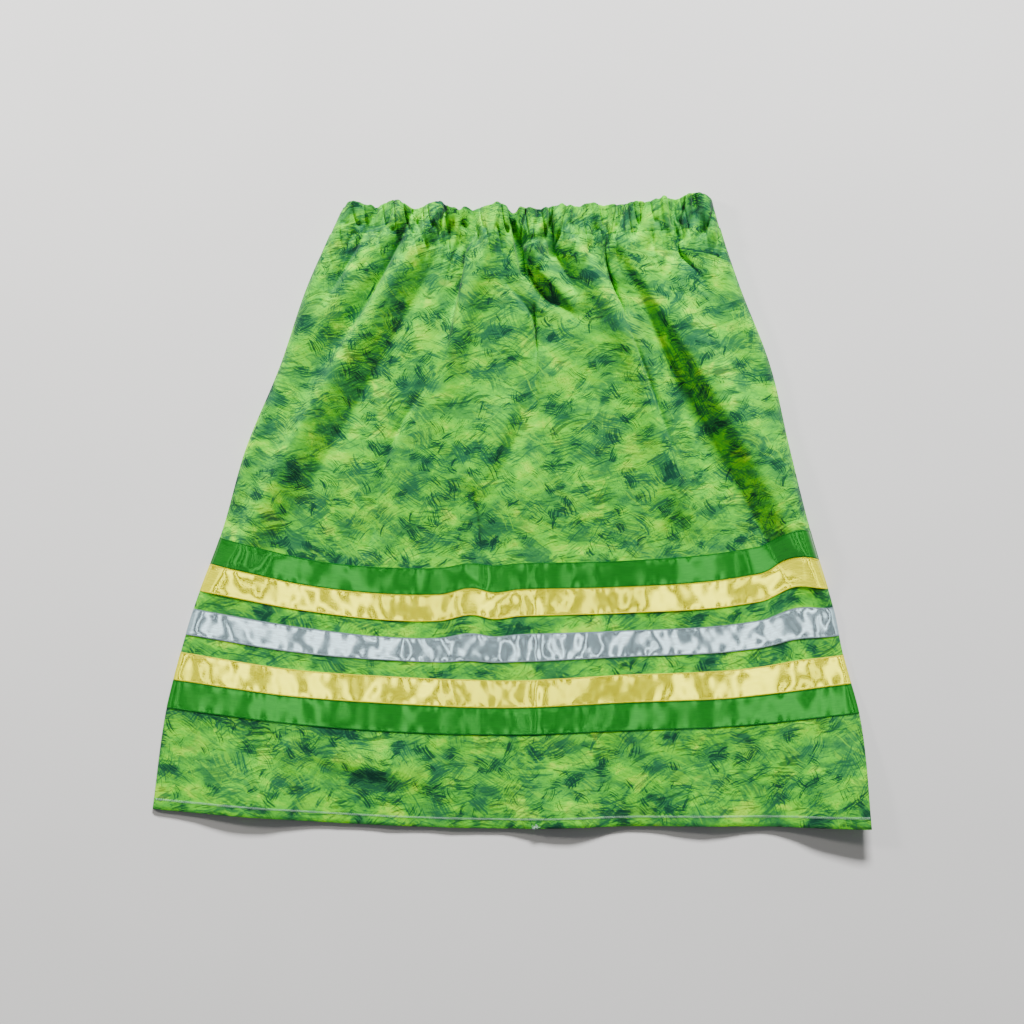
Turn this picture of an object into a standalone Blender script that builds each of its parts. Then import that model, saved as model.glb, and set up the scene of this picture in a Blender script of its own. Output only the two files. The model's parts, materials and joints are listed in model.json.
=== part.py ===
"""Ribbon skirt laid flat, front up, waist towards +Y.

Two gathered A-line panels of printed cotton lie on each other. Each has half of a folded-over waist
casing at its top and five satin ribbons above its hem. All cloth is worked out from the same tables:
LINES holds the cross lines of the laid skirt, FOLDS and BACK_FOLDS a row for each large fold,
GATHERS a row for each ruffle of the waist, LIFTS the places where the hem stands off the surface.
"""
import bpy
import numpy as np

# Units: lengths in the tables are millimetres, meshes are metres.
MM = 0.001

# Driving dimensions, mm
WAIST_Y = 428.0          # where the waist line lies, from the middle of the laid skirt
CASING_DEPTH = 38.0      # waist edge to the casing's stitch line
RIBBON_WIDTH = 38.0      # 1.5 inch satin ribbon
COTTON_WALL = 1.2        # cotton panel
CASING_WALL = 2.6        # two layers of cotton over the elastic
RIBBON_WALL = 1.0        # satin ribbon with its stitched edge
GAP = 0.3                # between pieces that touch
SEAM_GAP = 0.45          # between casing and panel, whose edges lean where the cloth is steep
CLEARANCE = 0.5          # spare height between the panels, which their slopes use up
SIDE_ROLL = 16.0         # width over which the front panel curves down to the side seam
SEAM_EASE = 30.0         # way over which the panels settle from the casing's thickness to their own
NARROWEST = 9.0          # half width of the narrowest fold side that the mesh's columns can show
FADE_IN = 30.0           # way above its start over which a fold of the panel dies out
FADE_OUT = 0.25          # way past its end over which a fold dies out, as a share of its length
CREASE_SOFT = 0.5        # roundness of a crease's bottom, as a share of its width
RUFFLE_SPREAD = 1.6      # reach of a ruffle to each side, as a share of its half width
SHELF_EASE = 26.0        # way over which the panel settles on the ribbons under it
BACK_FLAT_FROM = 300.0   # below this way down from the waist line the back panel has no folds

# Cross lines of the laid skirt. "cloth" is the way down the cloth from the waist edge, "left" and
# "right" are the side seams, and "down" is the way down from the waist line at seven even stations
# from the left seam to the right.
LINES = (
    dict(name="waist edge", cloth=0, left=-236, right=284, down=(1, -1, 1, 4, -1, -4, -6)),
    dict(name="casing stitch", cloth=38, left=-253, right=294, down=(38, 38, 41, 43, 40, 36, 29)),
    dict(name="high hip", cloth=112, left=-284, right=319, down=(108, 109, 111, 113, 110, 108, 104)),
    dict(name="hip", cloth=230, left=-323, right=363, down=(222, 228, 232, 232, 228, 225, 218)),
    dict(name="thigh", cloth=360, left=-371, right=391, down=(338, 354, 362, 360, 356, 348, 336)),
    dict(name="ribbon 1 top", cloth=506, left=-408, right=421, down=(465, 498, 508, 501, 498, 488, 465)),
    dict(name="ribbon 3 top", cloth=607, left=-445, right=453, down=(565, 591, 606, 601, 596, 588, 563)),
    dict(name="ribbon 4 top", cloth=670, left=-463, right=467, down=(626, 650, 661, 666, 658, 651, 630)),
    dict(name="ribbon 5 hem side", cloth=746, left=-483, right=489, down=(705, 726, 739, 743, 737, 730, 712)),
    dict(name="hem", cloth=880, left=-503, right=504, down=(847, 860, 870, 874, 871, 871, 873)),
)
STATIONS = np.linspace(0.0, 1.0, 7)
HEM = LINES[-1]["cloth"]

# Ribbons from the waist down: the way down the cloth to their upper edge
RIBBONS = (
    dict(name="1_green", top=506.0, color="satin_green"),
    dict(name="2_yellow", top=544.0, color="satin_yellow"),
    dict(name="3_silver", top=607.0, color="satin_silver"),
    dict(name="4_yellow", top=670.0, color="satin_yellow"),
    dict(name="5_green", top=708.0, color="satin_green"),
)

# Large folds of the front. A fold runs from (x0, d0) to (x1, d1), d being the way down from the waist
# line, with "bow" its sideways curve at half length. "left" and "right" are its half widths, which
# grow by the share "widen" along it. "high" is its height at the start, middle and end; a crease is
# below zero, and one named "slot" has a flat bottom. A fold that starts in the casing runs on to the
# waist edge.
FOLDS = (
    dict(name="ridge A", x0=-170, d0=24, x1=-297, d1=228, bow=0, left=14, right=18, widen=0.8, high=(7, 8, 0)),
    dict(name="ridge 1", x0=-112, d0=28, x1=-374, d1=470, bow=-12, left=9, right=17, widen=1.0, high=(12, 18, 13)),
    dict(name="ridge 2", x0=-19, d0=24, x1=-112, d1=290, bow=-4, left=10, right=15, widen=0.9, high=(11, 15, 2)),
    dict(name="flap", x0=28, d0=44, x1=88, d1=134, bow=-12, left=7, right=12, widen=0.2, high=(8, 13, 4)),
    dict(name="ridge 5", x0=70, d0=31, x1=238, d1=385, bow=25, left=20, right=10, widen=0.8, high=(10, 18, 11)),
    dict(name="ridge 8", x0=158, d0=60, x1=402, d1=470, bow=9, left=11, right=26, widen=0.9, high=(7, 21, 18)),
    dict(name="middle ridge", x0=8, d0=236, x1=-40, d1=384, bow=6, left=26, right=9, widen=0.4, high=(0, 8, 4)),
    dict(name="right corner", x0=267, d0=-11, x1=300, d1=90, bow=0, left=16, right=22, widen=0.3, high=(6, 6, 0)),
    dict(name="crease 0", x0=-207, d0=1, x1=-210, d1=48, bow=0, left=6, right=6, widen=0.2, high=(-6, -5, 0)),
    dict(name="crease 1", x0=-188, d0=2, x1=-275, d1=158, bow=5, left=9, right=6, widen=0.6, high=(-13, -12, 0)),
    dict(name="crease 2", x0=-140, d0=14, x1=-290, d1=258, bow=14, left=8, right=5, widen=0.8, high=(-13, -13, 0)),
    dict(name="crease 3", x0=-90, d0=8, x1=-86, d1=62, bow=-1, left=9, right=5, widen=0.0, high=(-13, -12, 0)),
    dict(name="flank 1", x0=-88, d0=40, x1=-318, d1=450, bow=4, left=14, right=30, widen=0.5, high=(-8, -10, -3)),
    dict(name="crease 3b", x0=-55, d0=6, x1=-72, d1=112, bow=3, left=7, right=5, widen=0.3, high=(-9, -8, 0)),
    dict(name="crease 4", x0=-46, d0=4, x1=-94, d1=222, bow=0, left=9, right=5, widen=0.8, high=(-16, -19, -6)),
    dict(name="slot 5", x0=7, d0=42, x1=17, d1=90, bow=0, left=4, right=4, widen=0.1, high=(-17, -20, -14)),
    dict(name="crease 6", x0=14, d0=44, x1=82, d1=146, bow=-14, left=13, right=5, widen=0.3, high=(-10, -15, -5)),
    dict(name="crease 7", x0=-1, d0=118, x1=37, d1=192, bow=9, left=4, right=13, widen=0.2, high=(-4, -9, -5)),
    dict(name="slot 8", x0=55, d0=12, x1=58, d1=64, bow=0, left=4, right=4, widen=0.2, high=(-7, -20, -16)),
    dict(name="crease 9", x0=55, d0=50, x1=98, d1=140, bow=2, left=10, right=9, widen=0.6, high=(-11, -9, 0)),
    dict(name="crease 10", x0=136, d0=2, x1=158, d1=144, bow=-10, left=9, right=4, widen=0.4, high=(-14, -17, -7)),
    dict(name="edge 5", x0=148, d0=122, x1=250, d1=400, bow=0, left=4, right=11, widen=0.8, high=(-9, -15, -7)),
    dict(name="valley 7", x0=156, d0=80, x1=364, d1=495, bow=5, left=20, right=11, widen=0.7, high=(-2, -18, -13)),
    dict(name="crease 11", x0=229, d0=-8, x1=268, d1=100, bow=-15, left=12, right=4, widen=0.3, high=(-15, -17, -3)),
    dict(name="crease 12", x0=255, d0=-6, x1=252, d1=36, bow=0, left=5, right=5, widen=0.2, high=(-6, -6, 0)),
    dict(name="centre hole", x0=34, d0=128, x1=38, d1=200, bow=0, left=7, right=4, widen=0.2, high=(0, -10, -5)),
    dict(name="centre crease", x0=36, d0=184, x1=36, d1=330, bow=0, left=12, right=5, widen=0.6, high=(-6, -5, 0)),
    dict(name="ribbon pinch", x0=-60, d0=372, x1=-43, d1=515, bow=5, left=12, right=6, widen=0.3, high=(0, -6, -4)),
    dict(name="lower left", x0=-311, d0=757, x1=-60, d1=810, bow=-4, left=17, right=30, widen=0.2, high=(2, 6, 0)),
    dict(name="left drape", x0=-92, d0=226, x1=-190, d1=456, bow=-25, left=14, right=4, widen=0.5, high=(0, -8, -6)),
    dict(name="middle valley", x0=28, d0=250, x1=-24, d1=400, bow=5, left=9, right=20, widen=0.4, high=(0, -4, 0)),
)

# Large folds of the back panel, in the same columns
BACK_FOLDS = (
    dict(name="back ridge 1", x0=-205, d0=10, x1=-262, d1=210, bow=3, left=15, right=12, widen=1.0, high=(6, 4, 0)),
    dict(name="back ridge 2", x0=-148, d0=10, x1=-186, d1=150, bow=-3, left=12, right=15, widen=0.9, high=(7, 4, 0)),
    dict(name="back ridge 3", x0=-92, d0=10, x1=-120, d1=260, bow=4, left=14, right=12, widen=1.2, high=(6, 4, 0)),
    dict(name="back ridge 4", x0=-36, d0=10, x1=-44, d1=170, bow=-2, left=13, right=14, widen=0.8, high=(7, 5, 0)),
    dict(name="back ridge 5", x0=28, d0=10, x1=36, d1=230, bow=3, left=15, right=12, widen=1.1, high=(6, 4, 0)),
    dict(name="back ridge 6", x0=88, d0=10, x1=112, d1=160, bow=0, left=12, right=15, widen=0.9, high=(7, 4, 0)),
    dict(name="back ridge 7", x0=150, d0=10, x1=190, d1=250, bow=-4, left=15, right=13, widen=1.1, high=(6, 5, 0)),
    dict(name="back ridge 8", x0=212, d0=10, x1=262, d1=180, bow=3, left=14, right=14, widen=0.9, high=(7, 4, 0)),
)

# Ruffles of the gathered waist edge: half width, how far the edge stands up there, height off the
# panel, and how far down the ruffle reaches
GATHERS = (
    dict(x=-218, half=12, rise=6, high=3, reach=40),
    dict(x=-190, half=8, rise=-2, high=-3, reach=36),
    dict(x=-167, half=13, rise=6, high=3, reach=44),
    dict(x=-133, half=11, rise=-6, high=-4, reach=34),
    dict(x=-105, half=11, rise=5, high=4, reach=40),
    dict(x=-76, half=10, rise=-4, high=-3, reach=40),
    dict(x=-55, half=8, rise=-3, high=2, reach=34),
    dict(x=-19, half=13, rise=5, high=3, reach=44),
    dict(x=4, half=7, rise=-6, high=-4, reach=36),
    dict(x=27, half=10, rise=-2, high=2, reach=34),
    dict(x=40, half=7, rise=-3, high=-3, reach=30),
    dict(x=72, half=13, rise=2, high=3, reach=40),
    dict(x=95, half=7, rise=-1, high=-2, reach=34),
    dict(x=113, half=11, rise=3, high=3, reach=40),
    dict(x=150, half=10, rise=-1, high=-2, reach=36),
    dict(x=176, half=12, rise=1, high=2, reach=40),
    dict(x=214, half=14, rise=6, high=3, reach=44),
    dict(x=233, half=6, rise=3, high=-3, reach=40),
    dict(x=258, half=19, rise=14, high=4, reach=50),
)
BACK_GATHER_HIGH = 0.7   # share of the front's ruffle height that the back has

# Height of the front panel over the back one, by the way down from the waist line
PUFF = dict(down=(0, 40, 130, 250, 400, 500, 880), high=(13, 18, 19, 16, 11, 6, 1.2))

# Places where the laid skirt stands off the surface: centre, half width, way up from the hem, height
LIFTS = (
    dict(x=-372, half=120, reach=110, high=7),
    dict(x=72, half=95, reach=100, high=8),
    dict(x=270, half=90, reach=100, high=5),
    dict(x=520, half=190, reach=190, high=20),
)

# Places where the cloth is dragged up the skirt in its own plane: middle and half width across, way
# down the cloth and reach along it, and how far it is dragged
DRAGS = (
    dict(x=402, half=52, cloth=525, reach=190, rise=14),
    dict(x=-60, half=40, cloth=560, reach=140, rise=6),
    dict(x=-18, half=34, cloth=560, reach=120, rise=-3),
)

# Mesh grid: columns of the upper, gathered stretch, and the rows of each stretch down the cloth
FINE_COLUMNS = 64
COARSE_COLUMNS = FINE_COLUMNS // 2
CASING_ROWS = (0.0, 12.0, 32.0, CASING_DEPTH - SEAM_GAP / 2)
FINE_ROWS = (CASING_DEPTH + SEAM_GAP / 2, 44.0, 60.0, 80.0, 102.0, 126.0, 150.0, 176.0, 204.0, 234.0)
COARSE_ROWS = (266.0, 304.0, 346.0, 390.0, 432.0, 470.0)
LOWER_ROWS = (778.0, 812.0, 846.0, HEM)


def through(places, values, at):
    """Smooth curve through the values at the places, read at "at"; values may be rows of arrays."""
    places = np.asarray(places, float)
    values = np.asarray(values, float)
    slopes = np.gradient(values, places, axis=0)
    at = np.clip(at, places[0], places[-1])
    k = np.clip(np.searchsorted(places, at, side="right") - 1, 0, len(places) - 2)
    span = places[k + 1] - places[k]
    t = (at - places[k]) / span
    return ((2 * t**3 - 3 * t**2 + 1) * values[k] + (t**3 - 2 * t**2 + t) * span * slopes[k]
            + (3 * t**2 - 2 * t**3) * values[k + 1] + (t**3 - t**2) * span * slopes[k + 1])


def bell(x):
    """1 at zero, falling smoothly to 0 at 1."""
    return np.cos(np.clip(np.abs(x), 0.0, 1.0) * np.pi / 2) ** 2


def smooth(x):
    """0 up to zero, 1 from one on, and a smooth rise between."""
    x = np.clip(x, 0.0, 1.0)
    return x * x * (3 - 2 * x)


def ruffle_share(ruffle, x, cloth):
    """How much of a waist ruffle's rise and height a point has."""
    return bell((x - ruffle["x"]) / (RUFFLE_SPREAD * ruffle["half"])) * bell(cloth / ruffle["reach"])


def plan(across, cloth):
    """Where a point of the cloth lies: x, and the way down from the waist line. "across" is 0 at the
    left side seam and 1 at the right one."""
    places = [line["cloth"] for line in LINES]
    left = through(places, [line["left"] for line in LINES], cloth)
    right = through(places, [line["right"] for line in LINES], cloth)
    x = left + across * (right - left)
    stations = np.array([through(STATIONS, line["down"], across) for line in LINES])
    down = np.empty_like(x)
    for i in range(len(x)):
        down[i] = through(places, stations[:, i], cloth[i])
    for ruffle in GATHERS:
        down -= ruffle["rise"] * ruffle_share(ruffle, x, cloth)
    for drag in DRAGS:
        beside = bell((x - drag["x"]) / drag["half"])
        down -= drag["rise"] * beside * bell((cloth - drag["cloth"]) / drag["reach"])
    return x, down, right - left


def fold_place(fold, x, down):
    """Share of a fold's way that lies behind each point, the point's distance to its right, and how
    much of the fold is left above its start: one that starts below the casing dies out upwards."""
    run_x = fold["x1"] - fold["x0"]
    run_d = fold["d1"] - fold["d0"]
    length = np.hypot(run_x, run_d)
    t = ((x - fold["x0"]) * run_x + (down - fold["d0"]) * run_d) / length**2
    side = ((x - fold["x0"]) * run_d - (down - fold["d0"]) * run_x) / length
    before = bell(np.clip(-t, 0, None) * length / FADE_IN) if fold["d0"] > CASING_DEPTH else 1.0
    t = np.clip(t, 0.0, None)
    return t, side - 4 * fold["bow"] * np.clip(t, 0, 1) * (1 - np.clip(t, 0, 1)), before


def fold_peak(fold, t, before):
    """Height of a fold's line along its way; it dies out past its end."""
    start, middle, end = fold["high"]
    peak = start + (middle - start) * smooth(2 * t) + (end - middle) * smooth(2 * t - 1)
    return peak * before * bell(np.clip(t - 1, 0, None) / FADE_OUT)


def fold_height(x, down, folds):
    """Summed height of folds: ridges are round, creases are sharp valleys between round flanks, and
    slots are creases with a flat bottom."""
    total = np.zeros_like(x)
    for fold in folds:
        t, side, before = fold_place(fold, x, down)
        width = np.where(side < 0, fold["left"], fold["right"]) * (1 + fold["widen"] * np.clip(t, 0, 1))
        reach = np.abs(side) / np.maximum(width, NARROWEST)
        if fold["name"].startswith("slot"):
            shape = np.exp(-reach**4)
        elif min(fold["high"]) < 0:
            shape = np.exp(CREASE_SOFT - np.sqrt(reach**2 + CREASE_SOFT**2))
        else:
            shape = np.exp(-reach**2)
        total += fold_peak(fold, t, before) * shape
    return total


def ruffle_height(x, cloth):
    """Height of the waist ruffles."""
    total = np.zeros_like(x)
    for ruffle in GATHERS:
        total += ruffle["high"] * ruffle_share(ruffle, x, cloth)
    return total


def at_least_zero(height, soften=1.2):
    """The height, kept above zero with a soft turn."""
    return 0.5 * (height + np.sqrt(height**2 + soften**2))


def lift(x, cloth):
    """How far the laid skirt stands off the surface."""
    total = np.zeros_like(x)
    for place in LIFTS:
        total += place["high"] * bell((x - place["x"]) / place["half"]) * bell((HEM - cloth) / place["reach"])
    return total


def ribbon_shelf(cloth):
    """Height of the back panel over the surface where its ribbons lie under it."""
    start = RIBBONS[0]["top"] - SHELF_EASE
    end = RIBBONS[-1]["top"] + RIBBON_WIDTH + SHELF_EASE
    return (RIBBON_WALL + GAP) * smooth(np.minimum(cloth - start, end - cloth) / SHELF_EASE)


def bed(cloth):
    """Half the thickness of the cloth where it lies: the casing's, settling to the cotton's."""
    settled = 1 - bell((cloth - CASING_DEPTH) / SEAM_EASE)
    settled = np.where(cloth < CASING_DEPTH, 0.0, settled)
    return CASING_WALL / 2 + (COTTON_WALL - CASING_WALL) / 2 * settled


def back_middle(across, cloth):
    """Middle surface of the back panel's wall."""
    x, down, width = plan(across, cloth)
    side = np.clip(np.minimum(across, 1 - across) * width / SIDE_ROLL, 0.0, 1.0)
    folds = fold_height(x, down, BACK_FOLDS) + BACK_GATHER_HIGH * ruffle_height(-x, cloth)
    folds = np.where(down < BACK_FLAT_FROM, np.clip(folds, 0.0, None), 0.0)
    return x, down, lift(x, cloth) + ribbon_shelf(cloth) + folds * side + bed(cloth)


def front_middle(across, cloth):
    """Middle surface of the front panel's wall: over the back panel, with its own folds."""
    x, down, back = back_middle(across, cloth)
    width = plan(across, cloth)[2]
    side = np.clip(np.minimum(across, 1 - across) * width / SIDE_ROLL, 0.0, 1.0)
    roll = np.sqrt(1 - (1 - side) ** 2)
    puff = through(PUFF["down"], PUFF["high"], down)
    folds = at_least_zero(puff + fold_height(x, down, FOLDS) + ruffle_height(x, cloth))
    return x, down, back + 2 * bed(cloth) + GAP + CLEARANCE + folds * roll


def points(surface, across, cloth):
    """World points in metres of one row of a surface."""
    x, down, z = surface(across, np.full_like(across, cloth))
    return np.stack([x, WAIST_Y - down, z], axis=1) * MM


def columns(count):
    return np.linspace(0.0, 1.0, count + 1)


def cloth_object(name, rows, wall, material, collection):
    """One piece of cloth: rows of points joined into an open sheet, then given its wall. A row may
    have half as many columns as the row above it."""
    verts = [tuple(p) for row in rows for p in row]
    faces = []
    start = 0
    for upper, lower in zip(rows, rows[1:]):
        below = start + len(upper)
        if len(lower) == len(upper):
            for i in range(len(upper) - 1):
                a, b, c, d = start + i, start + i + 1, below + i + 1, below + i
                faces += [(a, d, c), (a, c, b)]
        else:
            for i in range(len(lower) - 1):
                a, b, c = start + 2 * i, start + 2 * i + 1, start + 2 * i + 2
                d, e = below + i, below + i + 1
                faces += [(a, d, b), (b, d, e), (b, e, c)]
        start = below
    mesh = bpy.data.meshes.new(name)
    mesh.from_pydata(verts, [], faces)
    mesh.shade_smooth()
    mesh.materials.append(material)
    piece = bpy.data.objects.new(name, mesh)
    collection.objects.link(piece)
    solidify = piece.modifiers.new("wall", "SOLIDIFY")
    solidify.thickness = wall * MM
    solidify.offset = 0.0
    return piece


def material(name, color, roughness):
    """A Principled material of one colour."""
    made = bpy.data.materials.new(name)
    made.use_nodes = True
    shader = made.node_tree.nodes["Principled BSDF"]
    shader.inputs["Base Color"].default_value = (*color, 1.0)
    shader.inputs["Roughness"].default_value = roughness
    shader.inputs["Metallic"].default_value = 0.0
    return made


def panel_rows():
    """Rows of a panel down the cloth, each with its number of columns. The ribbons' edges are rows."""
    edges = sorted({ribbon["top"] + step for ribbon in RIBBONS for step in (0.0, RIBBON_WIDTH)})
    rows = [(row, FINE_COLUMNS) for row in FINE_ROWS]
    rows += [(row, COARSE_COLUMNS) for row in (*COARSE_ROWS, *edges, *LOWER_ROWS)]
    return rows


def make_panel(name, surface, cotton, collection):
    rows = [points(surface, columns(count), row) for row, count in panel_rows()]
    return cloth_object(name, rows, COTTON_WALL, cotton, collection)


def make_casing(name, surface, cotton, collection):
    rows = [points(surface, columns(FINE_COLUMNS), row) for row in CASING_ROWS]
    return cloth_object(name, rows, CASING_WALL, cotton, collection)


def moved_out(row, above, below, distance):
    """The points of a row, moved along the cloth's own normal."""
    along = np.gradient(row, axis=0)
    normal = np.cross(along, above - below)
    normal /= np.linalg.norm(normal, axis=1)[:, None]
    normal *= np.sign(normal[:, 2:3])
    return row + normal * distance * MM


def make_ribbon(name, ribbon, surface, side, satin, collection):
    """A ribbon from the panel's own points, moved out to its face: side 1 is up and -1 is down."""
    distance = side * (COTTON_WALL / 2 + GAP + RIBBON_WALL / 2)
    across = columns(COARSE_COLUMNS)
    upper = points(surface, across, ribbon["top"] + GAP / 2)
    lower = points(surface, across, ribbon["top"] + RIBBON_WIDTH - GAP / 2)
    rows = [moved_out(row, upper, lower, distance) for row in (upper, lower)]
    return cloth_object(name, rows, RIBBON_WALL, satin, collection)


def main():
    for item in list(bpy.data.objects):
        bpy.data.objects.remove(item, do_unlink=True)
    collection = bpy.data.collections.new("ribbon_skirt")
    bpy.context.scene.collection.children.link(collection)

    cotton = material("printed_cotton", (0.13, 0.42, 0.10), 0.85)
    satins = {
        "satin_green": material("satin_green", (0.01, 0.20, 0.02), 0.35),
        "satin_yellow": material("satin_yellow", (0.80, 0.66, 0.08), 0.35),
        "satin_silver": material("satin_silver", (0.50, 0.52, 0.54), 0.30),
    }
    make_panel("front_panel", front_middle, cotton, collection)
    make_panel("back_panel", back_middle, cotton, collection)
    make_casing("waist_casing_front", front_middle, cotton, collection)
    make_casing("waist_casing_back", back_middle, cotton, collection)
    for ribbon in RIBBONS:
        satin = satins[ribbon["color"]]
        make_ribbon("front_ribbon_" + ribbon["name"], ribbon, front_middle, 1, satin, collection)
        make_ribbon("back_ribbon_" + ribbon["name"], ribbon, back_middle, -1, satin, collection)


main()
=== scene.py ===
"""Looks of the ribbon skirt laid flat: printed cotton with its gathers, creases and hem, satin
ribbons, and the thread that sews them. The cloth follows the same tables as the solids."""

import json

import bpy
import numpy as np
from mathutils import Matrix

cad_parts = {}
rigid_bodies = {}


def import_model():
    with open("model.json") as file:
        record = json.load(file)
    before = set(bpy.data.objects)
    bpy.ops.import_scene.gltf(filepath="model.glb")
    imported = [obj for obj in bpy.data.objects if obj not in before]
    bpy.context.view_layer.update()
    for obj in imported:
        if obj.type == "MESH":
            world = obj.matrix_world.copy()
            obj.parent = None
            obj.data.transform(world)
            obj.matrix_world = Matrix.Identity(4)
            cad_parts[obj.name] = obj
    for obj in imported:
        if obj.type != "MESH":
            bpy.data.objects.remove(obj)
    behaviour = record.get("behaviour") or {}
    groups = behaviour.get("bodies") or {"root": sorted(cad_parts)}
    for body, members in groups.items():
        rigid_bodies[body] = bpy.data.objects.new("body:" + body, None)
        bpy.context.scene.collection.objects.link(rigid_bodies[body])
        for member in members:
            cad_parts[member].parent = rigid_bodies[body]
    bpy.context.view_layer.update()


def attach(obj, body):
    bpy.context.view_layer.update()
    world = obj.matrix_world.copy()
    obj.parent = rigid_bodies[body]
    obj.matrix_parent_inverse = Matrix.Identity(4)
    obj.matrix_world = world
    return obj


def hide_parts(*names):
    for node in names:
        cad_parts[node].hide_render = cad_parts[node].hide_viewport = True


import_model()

# Units: tables are millimetres, meshes are metres.
MM = 0.001

# Driving dimensions, mm
WAIST_Y = 428.0          # where the waist line lies, from the middle of the laid skirt
CASING_DEPTH = 38.0      # waist edge to the casing's stitch line
RIBBON_WIDTH = 38.0      # 1.5 inch satin ribbon
COTTON_WALL = 1.2        # thickness of the cotton solids, whose outer face the cloth follows
CASING_WALL = 2.6        # the same of the casing
HEM_TURN = 13.0          # depth of the turned-up hem
GAP = 0.3                # nominal, between the solids of pieces that touch
CLEARANCE = 0.5          # spare height between the panels
SIDE_ROLL = 16.0         # width over which the front panel curves down to the side seam
SEAM_EASE = 30.0         # way over which the panels settle from the casing's thickness to their own
BACK_FLAT_FROM = 300.0   # below this way down from the waist line the back panel has no folds
RIBBON_SHELF = 1.3       # height of the back panel where its ribbons lie under it
FADE_IN = 30.0           # way above its start over which a fold of the panel dies out
CREASE_SOFT = 0.25       # roundness of a crease's bottom, as a share of its width
CREASE_SHARP = 1.3       # how much narrower a crease is than the solids' mesh can show
THROW = 0.34             # share of its depth by which a crease's steep side rolls over it
THROW_FROM = 4.0         # way below the casing where that roll begins
THROW_EASE = 22.0        # way over which it begins
HEM_ROLL = 0.55          # radius of the cloth's turn at the hem edge
RIBBON_SHELF_EASE = 26.0 # way over which it rises to that height
FRAME_WIDTH = 1444.0     # width of the view at the surface
CAMERA_HEIGHT = 2600.0

# Lights on everything, m and W
LIGHTS = (
    dict(name="key", at=(-2.2, 1.3, 1.35), size=(0.4, 0.4), power=40.0, color=(1.0, 0.97, 0.92)),
    dict(name="top", at=(0.50, 4.2, 2.15), size=(1.5, 0.6), power=750.0, color=(0.99, 0.99, 1.0)),
)
WORLD_STRENGTH = 0.14

# Lights that only the satin mirrors, m: place and width across, and brightness
SATIN_LIGHTS = (
    (-2.60, 0.80, 2.6),
    (-1.46, 0.07, 13.0),
    (-0.72, 0.38, 4.8),
    (0.02, 0.06, 14.0),
    (0.80, 0.38, 4.8),
    (1.54, 0.07, 13.0),
    (2.70, 0.80, 2.6),
)
SATIN_LIGHT_Y = -0.40
SATIN_LIGHT_Z = 3.2
SATIN_LIGHT_LONG = 5.0
SATIN_WALL_FAR = 4.0
SATIN_WALL_Z = 1.8
SATIN_WALL_SIZE = (3.2, 3.6)
SATIN_WALL_POWER = 40.0

# Cross lines of the laid skirt: way down the cloth, side seams, and way down from the waist line at
# seven even stations from the left seam to the right.
LINES = (
    dict(name="waist edge", cloth=0, left=-236, right=284, down=(1, -1, 1, 4, -1, -4, -6)),
    dict(name="casing stitch", cloth=38, left=-253, right=294, down=(38, 38, 41, 43, 40, 36, 29)),
    dict(name="high hip", cloth=112, left=-284, right=319, down=(108, 109, 111, 113, 110, 108, 104)),
    dict(name="hip", cloth=230, left=-323, right=363, down=(222, 228, 232, 232, 228, 225, 218)),
    dict(name="thigh", cloth=360, left=-371, right=391, down=(338, 354, 362, 360, 356, 348, 336)),
    dict(name="ribbon 1 top", cloth=506, left=-408, right=421, down=(465, 498, 508, 501, 498, 488, 465)),
    dict(name="ribbon 3 top", cloth=607, left=-445, right=453, down=(565, 591, 606, 601, 596, 588, 563)),
    dict(name="ribbon 4 top", cloth=670, left=-463, right=467, down=(626, 650, 661, 666, 658, 651, 630)),
    dict(name="ribbon 5 hem side", cloth=746, left=-483, right=489, down=(705, 726, 739, 743, 737, 730, 712)),
    dict(name="hem", cloth=880, left=-503, right=504, down=(847, 860, 870, 874, 871, 871, 873)),
)
STATIONS = np.linspace(0.0, 1.0, 7)
HEM = LINES[-1]["cloth"]

# Colours as screen values, 0 to 255
SATINS = dict(
    satin_green=dict(color=(12, 112, 18), metallic=0.66, roughness=0.17),
    satin_yellow=dict(color=(250, 246, 0), metallic=0.86, roughness=0.15),
    satin_silver=dict(color=(166, 192, 198), metallic=0.88, roughness=0.13),
)
THREADS = dict(
    thread_green=(8, 78, 34),
    thread_yellow=(252, 246, 30),
    thread_grey=(66, 66, 84),
    thread_mint=(206, 246, 222),
    thread_leaf=(62, 142, 64),
)

# Ribbons from the waist down: way down the cloth to the upper edge, width and slope of the satin's
# ripples in mm and mm a mm, and flat lengths of its front and back halves in metres
RIBBONS = (
    dict(name="1_green", top=506.0, satin="satin_green", thread="thread_green", stitch="narrow",
         wave=40, slope=0.022, front=0.90, back=0.86),
    dict(name="2_yellow", top=544.0, satin="satin_yellow", thread="thread_yellow", stitch="overcast",
         wave=26, slope=0.034, front=0.91, back=0.88),
    dict(name="3_silver", top=607.0, satin="satin_silver", thread="thread_grey", stitch="zigzag",
         wave=23, slope=0.042, front=0.93, back=0.92),
    dict(name="4_yellow", top=670.0, satin="satin_yellow", thread="thread_yellow", stitch="overcast",
         wave=28, slope=0.032, front=0.96, back=0.95),
    dict(name="5_green", top=708.0, satin="satin_green", thread="thread_green", stitch="narrow",
         wave=44, slope=0.020, front=0.98, back=0.97),
)


def fold_row(name, start, end, bow, half, widen, high, **own):
    """A fold: start and end (x, way down), sideways curve, half widths left and right, share by which
    they widen, and height at the start, middle and end, which is below zero for a crease. It may have
    its own "throw" and "sharp" in place of THROW and CREASE_SHARP."""
    return dict(name=name, x0=start[0], d0=start[1], x1=end[0], d1=end[1], bow=bow,
                left=half[0], right=half[1], widen=widen, high=high, **own)


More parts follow.
